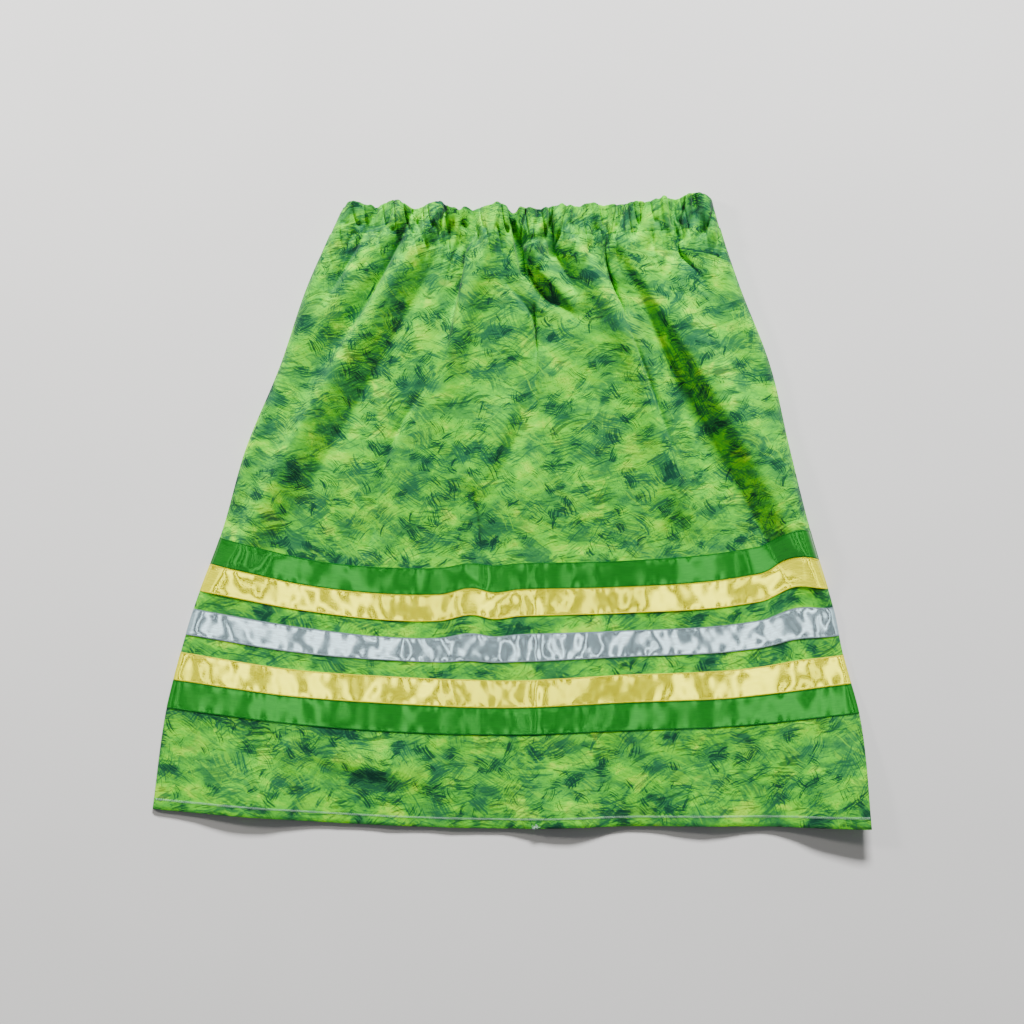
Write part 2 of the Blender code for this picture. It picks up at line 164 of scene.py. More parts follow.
# Large folds of the front, as in the solids
FOLDS = (
    fold_row("ridge A", (-170, 24), (-297, 228), 0, (14, 18), 0.8, (7, 8, 0)),
    fold_row("ridge 1", (-112, 28), (-374, 470), -12, (9, 17), 1.0, (12, 18, 13)),
    fold_row("ridge 2", (-19, 24), (-112, 290), -4, (10, 15), 0.9, (11, 15, 2)),
    fold_row("flap", (28, 44), (88, 134), -12, (7, 12), 0.2, (8, 13, 4)),
    fold_row("ridge 5", (70, 31), (238, 385), 25, (20, 10), 0.8, (10, 18, 11)),
    fold_row("ridge 8", (158, 60), (402, 470), 9, (11, 26), 0.9, (7, 21, 18)),
    fold_row("middle ridge", (8, 236), (-40, 384), 6, (26, 9), 0.4, (0, 8, 4)),
    fold_row("right corner", (267, -11), (300, 90), 0, (16, 22), 0.3, (6, 6, 0)),
    fold_row("crease 0", (-207, 1), (-210, 48), 0, (6, 6), 0.2, (-6, -5, 0)),
    fold_row("crease 1", (-188, 2), (-275, 158), 5, (9, 6), 0.6, (-13, -12, 0)),
    fold_row("crease 2", (-140, 14), (-290, 258), 14, (8, 5), 0.8, (-13, -13, 0)),
    fold_row("crease 3", (-90, 8), (-86, 62), -1, (9, 5), 0.0, (-13, -12, 0)),
    fold_row("flank 1", (-88, 40), (-318, 450), 4, (14, 30), 0.5, (-8, -10, -3)),
    fold_row("crease 3b", (-55, 6), (-72, 112), 3, (7, 5), 0.3, (-9, -8, 0)),
    fold_row("crease 4", (-46, 4), (-94, 222), 0, (9, 5), 0.8, (-16, -19, -6)),
    fold_row("slot 5", (7, 42), (17, 90), 0, (4, 4), 0.1, (-17, -20, -14)),
    fold_row("crease 6", (14, 44), (82, 146), -14, (13, 5), 0.3, (-10, -15, -5)),
    fold_row("crease 7", (-1, 118), (37, 192), 9, (4, 13), 0.2, (-4, -9, -5)),
    fold_row("slot 8", (55, 12), (58, 64), 0, (4, 4), 0.2, (-7, -20, -16)),
    fold_row("crease 9", (55, 50), (98, 140), 2, (10, 9), 0.6, (-11, -9, 0)),
    fold_row("crease 10", (136, 2), (158, 144), -10, (9, 4), 0.4, (-14, -17, -7)),
    fold_row("edge 5", (148, 122), (250, 400), 0, (4, 11), 0.8, (-9, -15, -7), throw=0.16, sharp=1.0),
    fold_row("valley 7", (156, 80), (364, 495), 5, (20, 11), 0.7, (-2, -18, -13)),
    fold_row("crease 11", (229, -8), (268, 100), -15, (12, 4), 0.3, (-15, -17, -3)),
    fold_row("crease 12", (255, -6), (252, 36), 0, (5, 5), 0.2, (-6, -6, 0)),
    fold_row("centre hole", (34, 128), (38, 200), 0, (7, 4), 0.2, (0, -10, -5)),
    fold_row("centre crease", (36, 184), (36, 330), 0, (12, 5), 0.6, (-6, -5, 0)),
    fold_row("ribbon pinch", (-60, 372), (-43, 515), 5, (12, 6), 0.3, (0, -6, -4)),
    fold_row("lower left", (-311, 757), (-60, 810), -4, (17, 30), 0.2, (2, 6, 0)),
    fold_row("left drape", (-92, 226), (-190, 456), -25, (14, 4), 0.5, (0, -8, -6)),
    fold_row("middle valley", (28, 250), (-24, 400), 5, (9, 20), 0.4, (0, -4, 0)),
)

BACK_FOLDS = (
    fold_row("back ridge 1", (-205, 10), (-262, 210), 3, (15, 12), 1.0, (6, 4, 0)),
    fold_row("back ridge 2", (-148, 10), (-186, 150), -3, (12, 15), 0.9, (7, 4, 0)),
    fold_row("back ridge 3", (-92, 10), (-120, 260), 4, (14, 12), 1.2, (6, 4, 0)),
    fold_row("back ridge 4", (-36, 10), (-44, 170), -2, (13, 14), 0.8, (7, 5, 0)),
    fold_row("back ridge 5", (28, 10), (36, 230), 3, (15, 12), 1.1, (6, 4, 0)),
    fold_row("back ridge 6", (88, 10), (112, 160), 0, (12, 15), 0.9, (7, 4, 0)),
    fold_row("back ridge 7", (150, 10), (190, 250), -4, (15, 13), 1.1, (6, 5, 0)),
    fold_row("back ridge 8", (212, 10), (262, 180), 3, (14, 14), 0.9, (7, 4, 0)),
)

# Finer creases of the front cloth
CREASES = (
    fold_row("pressed centre", (36, 440), (36, 874), 0, (5, 5), 0.0, (0.0, 0.5, 0.5)),
    fold_row("above ribbons 1", (233, 415), (246, 486), 2, (9, 3), 0.4, (0, -2.6, -1)),
    fold_row("above ribbons 2", (120, 330), (176, 470), -4, (12, 8), 0.4, (0, 1.2, 0)),
    fold_row("left drape 1", (-330, 220), (-392, 430), -5, (16, 10), 0.5, (0, 2.2, 0)),
    fold_row("left drape 2", (-200, 250), (-288, 470), 6, (14, 9), 0.5, (0, 1.8, 0)),
    fold_row("middle drape 1", (20, 290), (66, 470), -6, (16, 10), 0.4, (0, 1.6, 0)),
    fold_row("middle drape 2", (98, 214), (132, 330), 5, (10, 8), 0.4, (0, -2.0, 0)),
    fold_row("drag 1", (80, 142), (98, 214), 5, (7, 9), 0.5, (2, 2.5, 0)),
    fold_row("drag 2", (60, 150), (92, 206), -7, (6, 7), 0.5, (0, -2.5, 0)),
    fold_row("small fold", (37, 138), (50, 152), 0, (5, 5), 0.0, (1, 2.5, 0)),
    fold_row("right side drape", (322, 130), (384, 330), 5, (10, 8), 0.4, (0, 2.0, 0)),
    fold_row("waist left 1", (-236, 50), (-262, 120), 3, (7, 10), 0.5, (0, 2.2, 0)),
    fold_row("waist left 2", (-190, 60), (-232, 128), 0, (7, 6), 0.5, (0, -2.2, 0)),
    fold_row("between 1 and 4", (-66, 50), (-76, 130), 2, (6, 9), 0.5, (2, 3.0, 0)),
    fold_row("between 8 and 10", (104, 30), (128, 120), -3, (7, 7), 0.4, (-2, -3.0, 0)),
    fold_row("between 10 and 11", (192, 30), (214, 110), -3, (10, 10), 0.4, (2, 2.4, 0)),
    fold_row("hem drag", (-331, 728), (-296, 822), 3, (14, 8), 0.2, (0, 3.0, 0)),
    fold_row("right hem", (424, 735), (440, 850), 0, (14, 9), 0.2, (0, 3.0, 2)),
)

# Gathers of the waist: place, half width, how far each moves the waist edge, height, and reach down
GATHERS = (
    dict(x=-218, half=12, rise=6, high=3, reach=40),
    dict(x=-190, half=8, rise=-2, high=-3, reach=36),
    dict(x=-167, half=13, rise=6, high=3, reach=44),
    dict(x=-133, half=11, rise=-6, high=-4, reach=34),
    dict(x=-105, half=11, rise=5, high=4, reach=40),
    dict(x=-76, half=10, rise=-4, high=-3, reach=40),
    dict(x=-55, half=8, rise=-3, high=2, reach=34),
    dict(x=-19, half=13, rise=5, high=3, reach=44),
    dict(x=4, half=7, rise=-6, high=-4, reach=36),
    dict(x=27, half=10, rise=-2, high=2, reach=34),
    dict(x=40, half=7, rise=-3, high=-3, reach=30),
    dict(x=72, half=13, rise=2, high=3, reach=40),
    dict(x=95, half=7, rise=-1, high=-2, reach=34),
    dict(x=113, half=11, rise=3, high=3, reach=40),
    dict(x=150, half=10, rise=-1, high=-2, reach=36),
    dict(x=176, half=12, rise=1, high=2, reach=40),
    dict(x=214, half=14, rise=6, high=3, reach=44),
    dict(x=233, half=6, rise=3, high=-3, reach=40),
    dict(x=258, half=19, rise=14, high=4, reach=50),
)
BACK_GATHER_HIGH = 0.7
EDGE_RUFFLE = 2.2        # how far the small pleats move the waist edge
THREAD_ENDS_X = 32.0     # where the hem's row of stitches was begun
# How far the front stands off the back, and where the hem lifts off the surface
PUFF = dict(down=(0, 40, 130, 250, 400, 500, 880), high=(13, 18, 19, 16, 11, 6, 1.2))
LIFTS = (
    dict(x=-372, half=120, reach=110, high=7),
    dict(x=72, half=95, reach=100, high=8),
    dict(x=270, half=90, reach=100, high=5),
    dict(x=520, half=190, reach=190, high=20),
)

# Places where the cloth is dragged up the skirt in its own plane, or down it where below zero
DRAGS = (
    dict(x=402, half=52, cloth=525, reach=190, rise=14),
    dict(x=-60, half=40, cloth=560, reach=140, rise=6),
    dict(x=-18, half=34, cloth=560, reach=120, rise=-3),
)


# ---------------------------------------------------------------- shape

def through(places, values, at):
    """Smooth curve through the values at the places, read at "at"; values may have further axes."""
    places = np.asarray(places, float)
    values = np.asarray(values, float)
    slopes = np.gradient(values, places, axis=0)
    at = np.clip(at, places[0], places[-1])
    k = np.clip(np.searchsorted(places, at, side="right") - 1, 0, len(places) - 2)
    span = places[k + 1] - places[k]
    t = (at - places[k]) / span
    more = t.shape + (1,) * (values.ndim - 1)
    t, span = t.reshape(more), span.reshape(more)
    return ((2 * t**3 - 3 * t**2 + 1) * values[k] + (t**3 - 2 * t**2 + t) * span * slopes[k]
            + (3 * t**2 - 2 * t**3) * values[k + 1] + (t**3 - t**2) * span * slopes[k + 1])


def bell(x):
    """1 at zero, falling smoothly to 0 at 1."""
    return np.cos(np.clip(np.abs(x), 0.0, 1.0) * np.pi / 2) ** 2


def smooth(x):
    """0 up to zero, 1 from one on, and a smooth rise between."""
    x = np.clip(x, 0.0, 1.0)
    return x * x * (3 - 2 * x)


def noise(x, y, seed):
    """Smooth noise from -1 to 1 with cells of size 1."""
    size = 97
    lattice = np.random.default_rng(seed).uniform(-1, 1, (size, size))
    xi, yi = np.floor(x).astype(int), np.floor(y).astype(int)
    fx, fy = x - xi, y - yi
    fx, fy = fx**3 * (fx * (6 * fx - 15) + 10), fy**3 * (fy * (6 * fy - 15) + 10)
    x0, x1, y0, y1 = xi % size, (xi + 1) % size, yi % size, (yi + 1) % size
    low = lattice[x0, y0] * (1 - fx) + lattice[x1, y0] * fx
    high = lattice[x0, y1] * (1 - fx) + lattice[x1, y1] * fx
    return low * (1 - fy) + high * fy


def plan(across, cloth):
    """x, way down from the waist line and width of a grid: across by columns, cloth by rows."""
    places = [line["cloth"] for line in LINES]
    left = through(places, [line["left"] for line in LINES], cloth)[:, None]
    right = through(places, [line["right"] for line in LINES], cloth)[:, None]
    x = left + across[None, :] * (right - left)
    stations = np.array([through(STATIONS, line["down"], across) for line in LINES])
    down = through(places, stations, cloth)
    for ruffle in GATHERS:
        down = down - (ruffle["rise"] * bell((x - ruffle["x"]) / (1.6 * ruffle["half"]))
                       * bell(cloth / ruffle["reach"])[:, None])
    down = down - EDGE_RUFFLE * noise(x / 6.5, x / 80, 29) * np.exp(-(cloth / 16.0) ** 2)[:, None]
    for drag in DRAGS:
        down = down - (drag["rise"] * bell((x - drag["x"]) / drag["half"])
                       * bell((cloth - drag["cloth"]) / drag["reach"])[:, None])
    return x, down, right - left


def fold_place(fold, x, down):
    """Share of a fold's way that lies behind each point, the point's distance to its right, and how
    much of the fold is left above its start: one that starts below the casing dies out upwards."""
    run_x = fold["x1"] - fold["x0"]
    run_d = fold["d1"] - fold["d0"]
    length = np.hypot(run_x, run_d)
    t = ((x - fold["x0"]) * run_x + (down - fold["d0"]) * run_d) / length**2
    side = ((x - fold["x0"]) * run_d - (down - fold["d0"]) * run_x) / length
    before = bell(np.clip(-t, 0, None) * length / FADE_IN) if fold["d0"] > CASING_DEPTH else 1.0
    t = np.clip(t, 0.0, None)
    return t, side - 4 * fold["bow"] * np.clip(t, 0, 1) * (1 - np.clip(t, 0, 1)), before


def fold_peak(fold, t, before):
    """Height of a fold's line along its way; it dies out past its end."""
    start, middle, end = fold["high"]
    first = smooth(2 * t)
    second = smooth(2 * t - 1)
    peak = start + (middle - start) * first + (end - middle) * second
    return peak * before * bell(np.clip(t - 1, 0, None) * 4)


def fold_height(x, down, folds):
    """Summed height of folds: ridges are round, creases are sharp valleys between round flanks."""
    total = np.zeros_like(x)
    for fold in folds:
        t, side, before = fold_place(fold, x, down)
        width = np.where(side < 0, fold["left"], fold["right"]) * (1 + fold["widen"] * np.clip(t, 0, 1))
        reach = np.abs(side) / width
        if fold["name"].startswith("slot"):
            total += fold_peak(fold, t, before) * np.exp(-reach**4)
        elif min(fold["high"]) < 0:
            reach = fold.get("sharp", CREASE_SHARP) * reach
            total += fold_peak(fold, t, before) * np.exp(CREASE_SOFT - np.sqrt(reach**2 + CREASE_SOFT**2))
        else:
            total += fold_peak(fold, t, before) * np.exp(-reach**2)
    return total


def fold_throw(x, down, folds):
    """Sideways shift that rolls the steep side of a crease over it, below the casing's two layers."""
    total = np.zeros_like(x)
    below = smooth((down - CASING_DEPTH - THROW_FROM) / THROW_EASE)
    for fold in folds:
        lopsided = np.sign(fold["left"] - fold["right"])
        if min(fold["high"]) >= 0 or lopsided == 0:
            continue
        t, side, before = fold_place(fold, x, down)
        steep = min(fold["left"], fold["right"]) * (1 + fold["widen"] * np.clip(t, 0, 1))
        away = lopsided * side / steep
        share = fold.get("throw", THROW)
        total += lopsided * share * fold_peak(fold, t, before) * np.exp(-(away - 1.1) ** 2)
    return total * below


def ruffle_height(x, cloth):
    total = np.zeros_like(x)
    for ruffle in GATHERS:
        total += (ruffle["high"] * bell((x - ruffle["x"]) / (1.6 * ruffle["half"]))
                  * bell(cloth / ruffle["reach"])[:, None])
    return total


def at_least_zero(height, soften=1.2):
    return 0.5 * (height + np.sqrt(height**2 + soften**2))


def lift(x, cloth):
    total = np.zeros_like(x)
    for place in LIFTS:
        total += (place["high"] * bell((x - place["x"]) / place["half"])
                  * bell((HEM - cloth) / place["reach"])[:, None])
    return total


def ribbon_shelf(cloth):
    """Height of the back panel over the surface, which leaves room for the ribbons under it."""
    ease = RIBBON_SHELF_EASE
    start = RIBBONS[0]["top"]
    end = RIBBONS[-1]["top"] + RIBBON_WIDTH
    inside = np.clip(np.minimum(cloth - (start - ease), (end + ease) - cloth) / ease, 0.0, 1.0)
    return RIBBON_SHELF * inside * inside * (3 - 2 * inside)


def bed(cloth):
    settled = 1 - bell((cloth - CASING_DEPTH) / SEAM_EASE)
    settled = np.where(cloth < CASING_DEPTH, 0.0, settled)
    return CASING_WALL / 2 + (COTTON_WALL - CASING_WALL) / 2 * settled


def side_share(across, width):
    return np.clip(np.minimum(across, 1 - across)[None, :] * width / SIDE_ROLL, 0.0, 1.0)


def back_surface(across, cloth):
    """Middle of the back panel's wall on a grid: x, down, z."""
    x, down, width = plan(across, cloth)
    folds = fold_height(x, down, BACK_FOLDS) + BACK_GATHER_HIGH * ruffle_height(-x, cloth)
    folds = np.where(down < BACK_FLAT_FROM, np.clip(folds, 0.0, None), 0.0)
    z = lift(x, cloth) + ribbon_shelf(cloth)[:, None] + folds * side_share(across, width)
    return x, down, z + bed(cloth)[:, None]


def fine_folds(x, down, cloth):
    """Finer creases and crinkles of the front cloth."""
    total = fold_height(x, down, CREASES)
    fan = x / (0.62 + 0.00055 * down)
    near_waist = np.exp(-(down / 150.0) ** 2)
    total += 1.1 * near_waist * noise(fan / 15, down / 120 + 7, 3)
    total += 2.0 * np.exp(-((down - 230) / 200.0) ** 2) * noise(fan / 34, down / 150, 5)
    total += 1.0 * noise(x / 46 + 0.3 * down / 46, down / 60, 8) * np.clip(down / 250, 0, 1)
    total += 0.22 * noise(x / 17, down / 24, 11) * np.clip(down / 120, 0, 1)
    stitched = np.zeros_like(cloth)
    for ribbon in RIBBONS:
        for edge in (ribbon["top"], ribbon["top"] + RIBBON_WIDTH):
            stitched = np.maximum(stitched, np.exp(-((cloth - edge) / 9.0) ** 2))
    stitched = np.maximum(stitched, np.exp(-((cloth - (HEM - HEM_TURN)) / 9.0) ** 2))
    total += 0.35 * stitched[:, None] * noise(x / 11, down / 40, 13)
    total += waist_ruffles(x, cloth)
    return total


def waist_ruffles(x, cloth):
    """Small pleats of the gathered casing, drawn in along its stitch line, with sharp creases between
    them that run on below it by uneven lengths."""
    cloth = cloth[:, None]
    below = np.clip(cloth - CASING_DEPTH, 0, None)
    drift = cloth / 60
    reach = 38.0 * (1 + 0.8 * noise(x / 21, x / 90, 20))
    fade = np.exp(-(below / reach) ** 2)
    pleats = 3.4 * noise(x / 9 + drift, cloth / 46, 17) + 1.3 * noise(x / 4.5, cloth / 26, 18)
    creases = (1 - np.abs(noise(x / 14 + drift, cloth / 90, 23))) ** 4
    creases = creases + 0.6 * (1 - np.abs(noise(x / 8 - drift, cloth / 60, 24))) ** 4
    drawn = -0.4 * np.exp(-((cloth - CASING_DEPTH) / 2.6) ** 2) * (1 + 0.8 * noise(x / 12, x / 50, 19))
    return (pleats - 9.0 * creases) * fade + drawn


def front_surface(across, cloth):
    """Middle of the front panel's wall on a grid: x, down, z."""
    x, down, back = back_surface(across, cloth)
    width = plan(across, cloth)[2]
    side = side_share(across, width)
    roll = np.sqrt(1 - (1 - side) ** 2)
    puff = through(PUFF["down"], PUFF["high"], down)
    folds = puff + fold_height(x, down, FOLDS) + ruffle_height(x, cloth) + fine_folds(x, down, cloth)
    z = back + 2 * bed(cloth)[:, None] + GAP + CLEARANCE + at_least_zero(folds) * roll
    return x + fold_throw(x, down, FOLDS) * side, down, z


# ---------------------------------------------------------------- meshes

def world(x, down, z):
    return np.stack([x, WAIST_Y - down, z], axis=-1) * MM


def cloth_lengths(points):
    """Running length of the cloth along each row from its middle column."""
    steps = np.linalg.norm(np.diff(points, axis=1), axis=2)
    along = np.concatenate([np.zeros((len(points), 1)), np.cumsum(steps, axis=1)], axis=1)
    return along - along[:, along.shape[1] // 2][:, None]


def sheet_object(name, points, cloth, material, flip=False):
    """A grid of points as a smooth mesh, with the flat cloth's own metres as its UV map."""
    rows, cols = points.shape[:2]
    index = np.arange(rows * cols).reshape(rows, cols)
    corners = [index[:-1, :-1], index[1:, :-1], index[1:, 1:], index[:-1, 1:]]
    if flip:
        corners = corners[::-1]
    faces = np.stack([c.ravel() for c in corners], axis=1)
    mesh = bpy.data.meshes.new(name)
    mesh.from_pydata(points.reshape(-1, 3).tolist(), [], faces.tolist())
    mesh.shade_smooth()
    flat = np.stack([cloth_lengths(points), np.broadcast_to(-cloth[:, None] * MM, (rows, cols))], axis=-1)
    uv = mesh.uv_layers.new(name="cloth")
    uv.data.foreach_set("uv", flat.reshape(-1, 2)[faces.ravel()].astype(np.float32).ravel())
    mesh.materials.append(material)
    made = bpy.data.objects.new(name, mesh)
    bpy.context.scene.collection.objects.link(made)
    return made


def sample(grid, across_at, cloth_at, across, cloth):
    """Points of a grid between its columns and rows."""
    ci = np.interp(across, across_at, np.arange(len(across_at)))
    ri = np.interp(cloth, cloth_at, np.arange(len(cloth_at)))
    c0 = np.clip(ci.astype(int), 0, len(across_at) - 2)
    r0 = np.clip(ri.astype(int), 0, len(cloth_at) - 2)
    fc, fr = (ci - c0)[:, None], (ri - r0)[:, None]
    return ((grid[r0, c0] * (1 - fc) + grid[r0, c0 + 1] * fc) * (1 - fr)
            + (grid[r0 + 1, c0] * (1 - fc) + grid[r0 + 1, c0 + 1] * fc) * fr)


def thread_tube(path, radius, sides=5):
    """Vertices and faces of a thread along a path."""
    along = np.gradient(path, axis=0)
    along /= np.linalg.norm(along, axis=1)[:, None]
    across = np.cross(along, (0.0, 0.0, 1.0))
    across /= np.linalg.norm(across, axis=1)[:, None]
    up = np.cross(across, along)
    turn = np.arange(sides) * 2 * np.pi / sides
    ring = (np.cos(turn)[None, :, None] * across[:, None, :] + np.sin(turn)[None, :, None] * up[:, None, :])
    verts = (path[:, None, :] + radius * ring).reshape(-1, 3)
    faces = []
    for i in range(len(path) - 1):
        for j in range(sides):
            k = (j + 1) % sides
            faces.append((i * sides + j, i * sides + k, (i + 1) * sides + k, (i + 1) * sides + j))
    faces.append(tuple(range(sides))[::-1])
    faces.append(tuple((len(path) - 1) * sides + j for j in range(sides)))
    return verts, faces


def thread_object(name, paths, radius, material):
    """Threads along several paths, joined in one mesh."""
    verts, faces, start = [], [], 0
    for path in paths:
        v, f = thread_tube(path, radius)
        verts.append(v)
        faces += [tuple(start + i for i in face) for face in f]
        start += len(v)
    mesh = bpy.data.meshes.new(name)
    mesh.from_pydata(np.concatenate(verts).tolist(), [], faces)
    mesh.shade_smooth()
    mesh.materials.append(material)
    made = bpy.data.objects.new(name, mesh)
    bpy.context.scene.collection.objects.link(made)
    return made


# ---------------------------------------------------------------- materials

def linear(*srgb):
    """A colour given as 0 to 255 screen values, as the shader's linear values."""
    share = np.array(srgb) / 255.0
    value = np.where(share <= 0.04045, share / 12.92, ((share + 0.055) / 1.055) ** 2.4)
    return (*value.tolist(), 1.0)


class Nodes:
    """Short calls for building a material's node tree."""

    def __init__(self, name):
        self.material = bpy.data.materials.new(name)
        self.material.use_nodes = True
        self.tree = self.material.node_tree
        self.shader = self.tree.nodes["Principled BSDF"]

    def put(self, target, value):
        if isinstance(value, bpy.types.NodeSocket):
            self.tree.links.new(value, target)
        else:
            target.default_value = value

    def shade(self, **inputs):
        """Set the shader's inputs, whose names have an underscore for each space."""
        for name, value in inputs.items():
            self.put(self.shader.inputs[name.replace("_", " ")], value)

    def node(self, kind, settings=None, **inputs):
        made = self.tree.nodes.new(kind)
        for key, value in (settings or {}).items():
            setattr(made, key, value)
        for key, value in inputs.items():
            numbered = key[0] == "i" and key[1:].isdigit()
            self.put(made.inputs[int(key[1:]) if numbered else key], value)
        return made

    def math(self, operation, a, b=0.0, clamp=False):
        settings = {"operation": operation, "use_clamp": clamp}
        return self.node("ShaderNodeMath", settings, i0=a, i1=b).outputs[0]

    def vector(self, operation, a, b=(0.0, 0.0, 0.0)):
        return self.node("ShaderNodeVectorMath", {"operation": operation}, i0=a, i1=b).outputs[0]

    def noise(self, at, scale, detail=2.0, rough=0.5):
        made = self.node("ShaderNodeTexNoise", {"noise_dimensions": "2D"},
                         Vector=at, Scale=scale, Detail=detail, Roughness=rough)
        return made.outputs["Fac"], made.outputs["Color"]

    def ramp(self, fac, stops):
        made = self.node("ShaderNodeValToRGB", Fac=fac)
        while len(made.color_ramp.elements) < len(stops):
            made.color_ramp.elements.new(0.5)
        for element, (place, color) in zip(made.color_ramp.elements, stops):
            element.position = place
            element.color = color
        return made.outputs["Color"]

    def step(self, value, low, high):
        made = self.node("ShaderNodeMapRange", {"interpolation_type": "SMOOTHSTEP"},
                         Value=value, i1=low, i2=high)
        return made.outputs["Result"]

    def mix(self, fac, a, b):
        made = self.node("ShaderNodeMix", {"data_type": "RGBA"}, i0=fac, i6=a, i7=b)
        return made.outputs[2]

    def bump(self, height, distance, strength=1.0, normal=None):
        made = self.node("ShaderNodeBump", Height=height, Distance=distance, Strength=strength)
        if normal is not None:
            self.put(made.inputs["Normal"], normal)
        return made.outputs["Normal"]


def tufts(n, at, cell, bristle, seed, present, thinner):
    """A layer of brush marks: a cell of the cloth may hold one tuft of slightly bent bristle lines,
    which thin out to its ends and with "thinner", at its own angle. Returns how much paint lies at
    each point."""
    moved = n.vector("ADD", at, (seed * 0.37, seed * 0.71, 0.0))
    wobble = n.vector("MULTIPLY", n.noise(moved, 1.6 / cell, 2.0)[1], (0.14 * cell, 0.14 * cell, 0.0))
    moved = n.vector("ADD", moved, wobble)
    place = n.node("ShaderNodeTexVoronoi", {"voronoi_dimensions": "2D", "feature": "F1"},
                   Vector=moved, Scale=1.0 / cell)
    random = n.node("ShaderNodeSeparateColor", Color=place.outputs["Color"]).outputs
    local = n.vector("SUBTRACT", moved, place.outputs["Position"])
    angle = n.math("MULTIPLY", n.math("SUBTRACT", random[0], 0.5), 2.6)
    turned = n.node("ShaderNodeVectorRotate", {"rotation_type": "Z_AXIS"}, Vector=local, Angle=angle)
    x, y, _ = n.node("ShaderNodeSeparateXYZ", i0=turned.outputs[0]).outputs
    bend = n.math("MULTIPLY", n.math("SUBTRACT", random[1], 0.5), 1.3 / cell)
    y = n.math("ADD", y, n.math("MULTIPLY", bend, n.math("MULTIPLY", x, x)))
    along = n.math("ADD", n.math("MULTIPLY", x, 0.6 / cell), n.math("MULTIPLY", random[0], 9.0))
    over = n.math("ADD", n.math("MULTIPLY", y, 1.0 / bristle), n.math("MULTIPLY", random[1], 7.0))
    lines = n.noise(n.node("ShaderNodeCombineXYZ", X=along, Y=over).outputs[0], 1.0, 2.5, 0.55)[0]
    ends = n.noise(n.node("ShaderNodeCombineXYZ", X=random[2], Y=over).outputs[0], 0.5, 2.0)[0]
    far = n.vector("MULTIPLY", turned.outputs[0], (1.6 / cell, 2.6 / cell, 0.0))
    far = n.node("ShaderNodeVectorMath", {"operation": "LENGTH"}, i0=far).outputs["Value"]
    far = n.math("ADD", far, n.math("MULTIPLY", n.math("SUBTRACT", ends, 0.5), 1.2), clamp=True)
    thin = n.math("MULTIPLY", n.math("MULTIPLY", far, far), 0.20)
    clumps = n.noise(place.outputs["Position"], 12.0, 1.0)[0]
    chosen = n.math("ADD", random[2], n.math("MULTIPLY", n.math("SUBTRACT", clumps, 0.5), 2.4))
    paint = n.step(n.math("SUBTRACT", n.math("SUBTRACT", lines, thin), thinner), 0.44, 0.57)
    paint = n.math("MULTIPLY", paint, n.step(place.outputs["Distance"], 0.66, 0.50))
    return n.math("MULTIPLY", paint, n.math("GREATER_THAN", chosen, 1.0 - present), clamp=True)


def dry_brush(n, at, angle, seed, low, high):
    """Long broken strokes in one direction that wanders over the cloth, gathered in patches."""
    moved = n.vector("ADD", at, (seed * 0.53, seed * 0.29, 0.0))
    wander = n.vector("MULTIPLY", n.noise(moved, 9.0, 2.0)[1], (0.06, 0.06, 0.0))
    turned = n.node("ShaderNodeVectorRotate", {"rotation_type": "Z_AXIS"},
                    Vector=n.vector("ADD", moved, wander), Angle=angle)
    lines = n.noise(n.vector("MULTIPLY", turned.outputs[0], (17.0, 300.0, 0.0)), 1.0, 3.0, 0.6)[0]
    patches = n.noise(n.vector("MULTIPLY", moved, (0.7, 1.1, 0.0)), 27.0, 3.0, 0.55)[0]
    cover = n.math("MULTIPLY", n.math("SUBTRACT", patches, 0.5), 1.1)
    return n.step(n.math("ADD", lines, cover), low, high)


